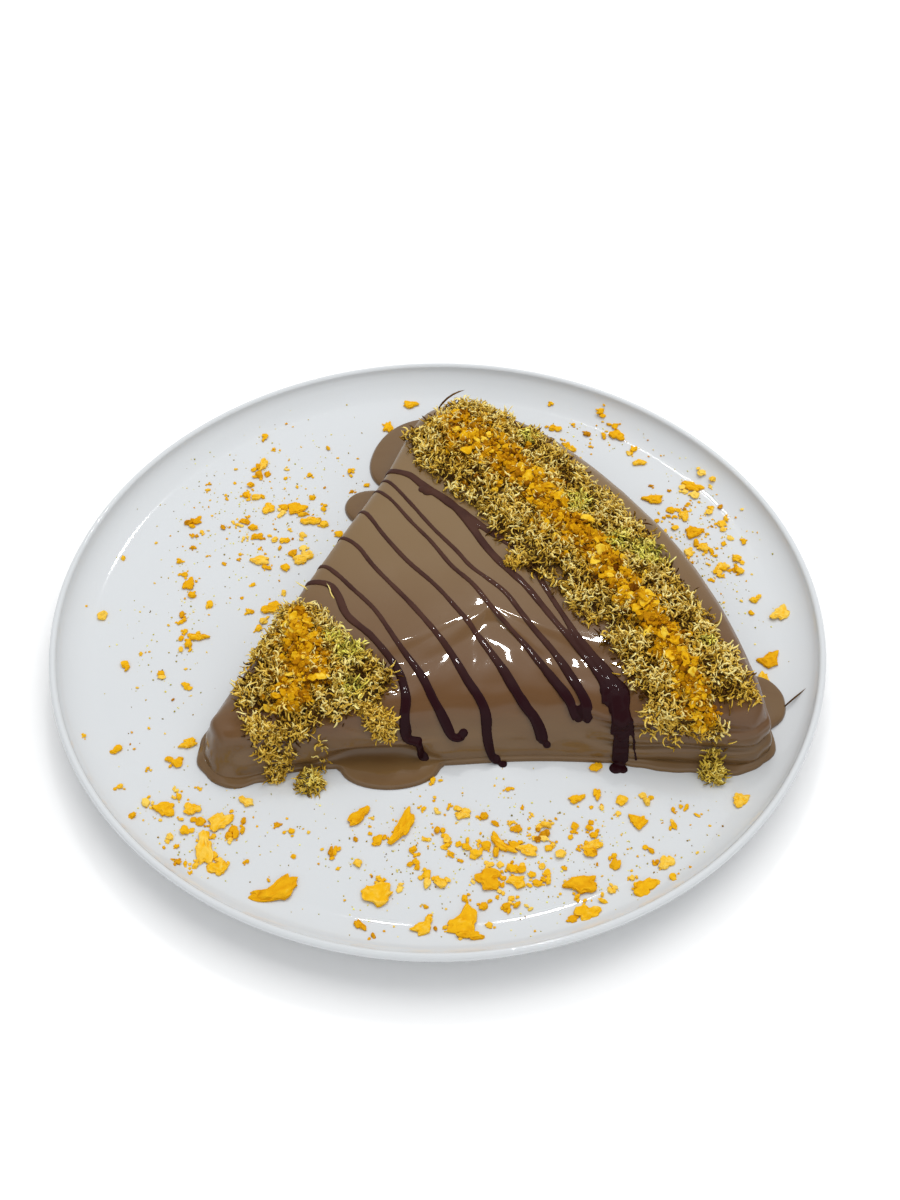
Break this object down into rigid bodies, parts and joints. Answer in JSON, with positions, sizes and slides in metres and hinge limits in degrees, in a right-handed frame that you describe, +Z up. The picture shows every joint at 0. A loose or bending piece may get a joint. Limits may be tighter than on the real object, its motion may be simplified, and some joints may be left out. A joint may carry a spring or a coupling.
{
  "type": "folded crepe",
  "caption": "Chocolate-coated crepe folded to a wedge, with dark drizzle, shredded topping and golden crumbs, on its round shallow white plate.",
  "frame": {"origin": "centre of the plate, on the table surface under its foot ring", "axes": "+Z up, +X to the viewer's right, +Y away from the viewer; the crepe's tip lies at the front left and its curved edge at the right"},
  "size_m": [0.2798, 0.2798, 0.0444],
  "materials": {
    "plate": "smooth white glaze",
    "crepe": "glossy milk chocolate coating with dark lines",
    "shreds": "dry, fine and fibrous",
    "crumbs": "dry golden crumbs"
  },
  "bodies": {
    "root": {"plate": "plate", "crepe": "crepe", "shreds_left": "shreds", "shreds_right": "shreds", "crumbs_left": "crumbs", "crumbs_right": "crumbs"}
  },
  "joints": []
}
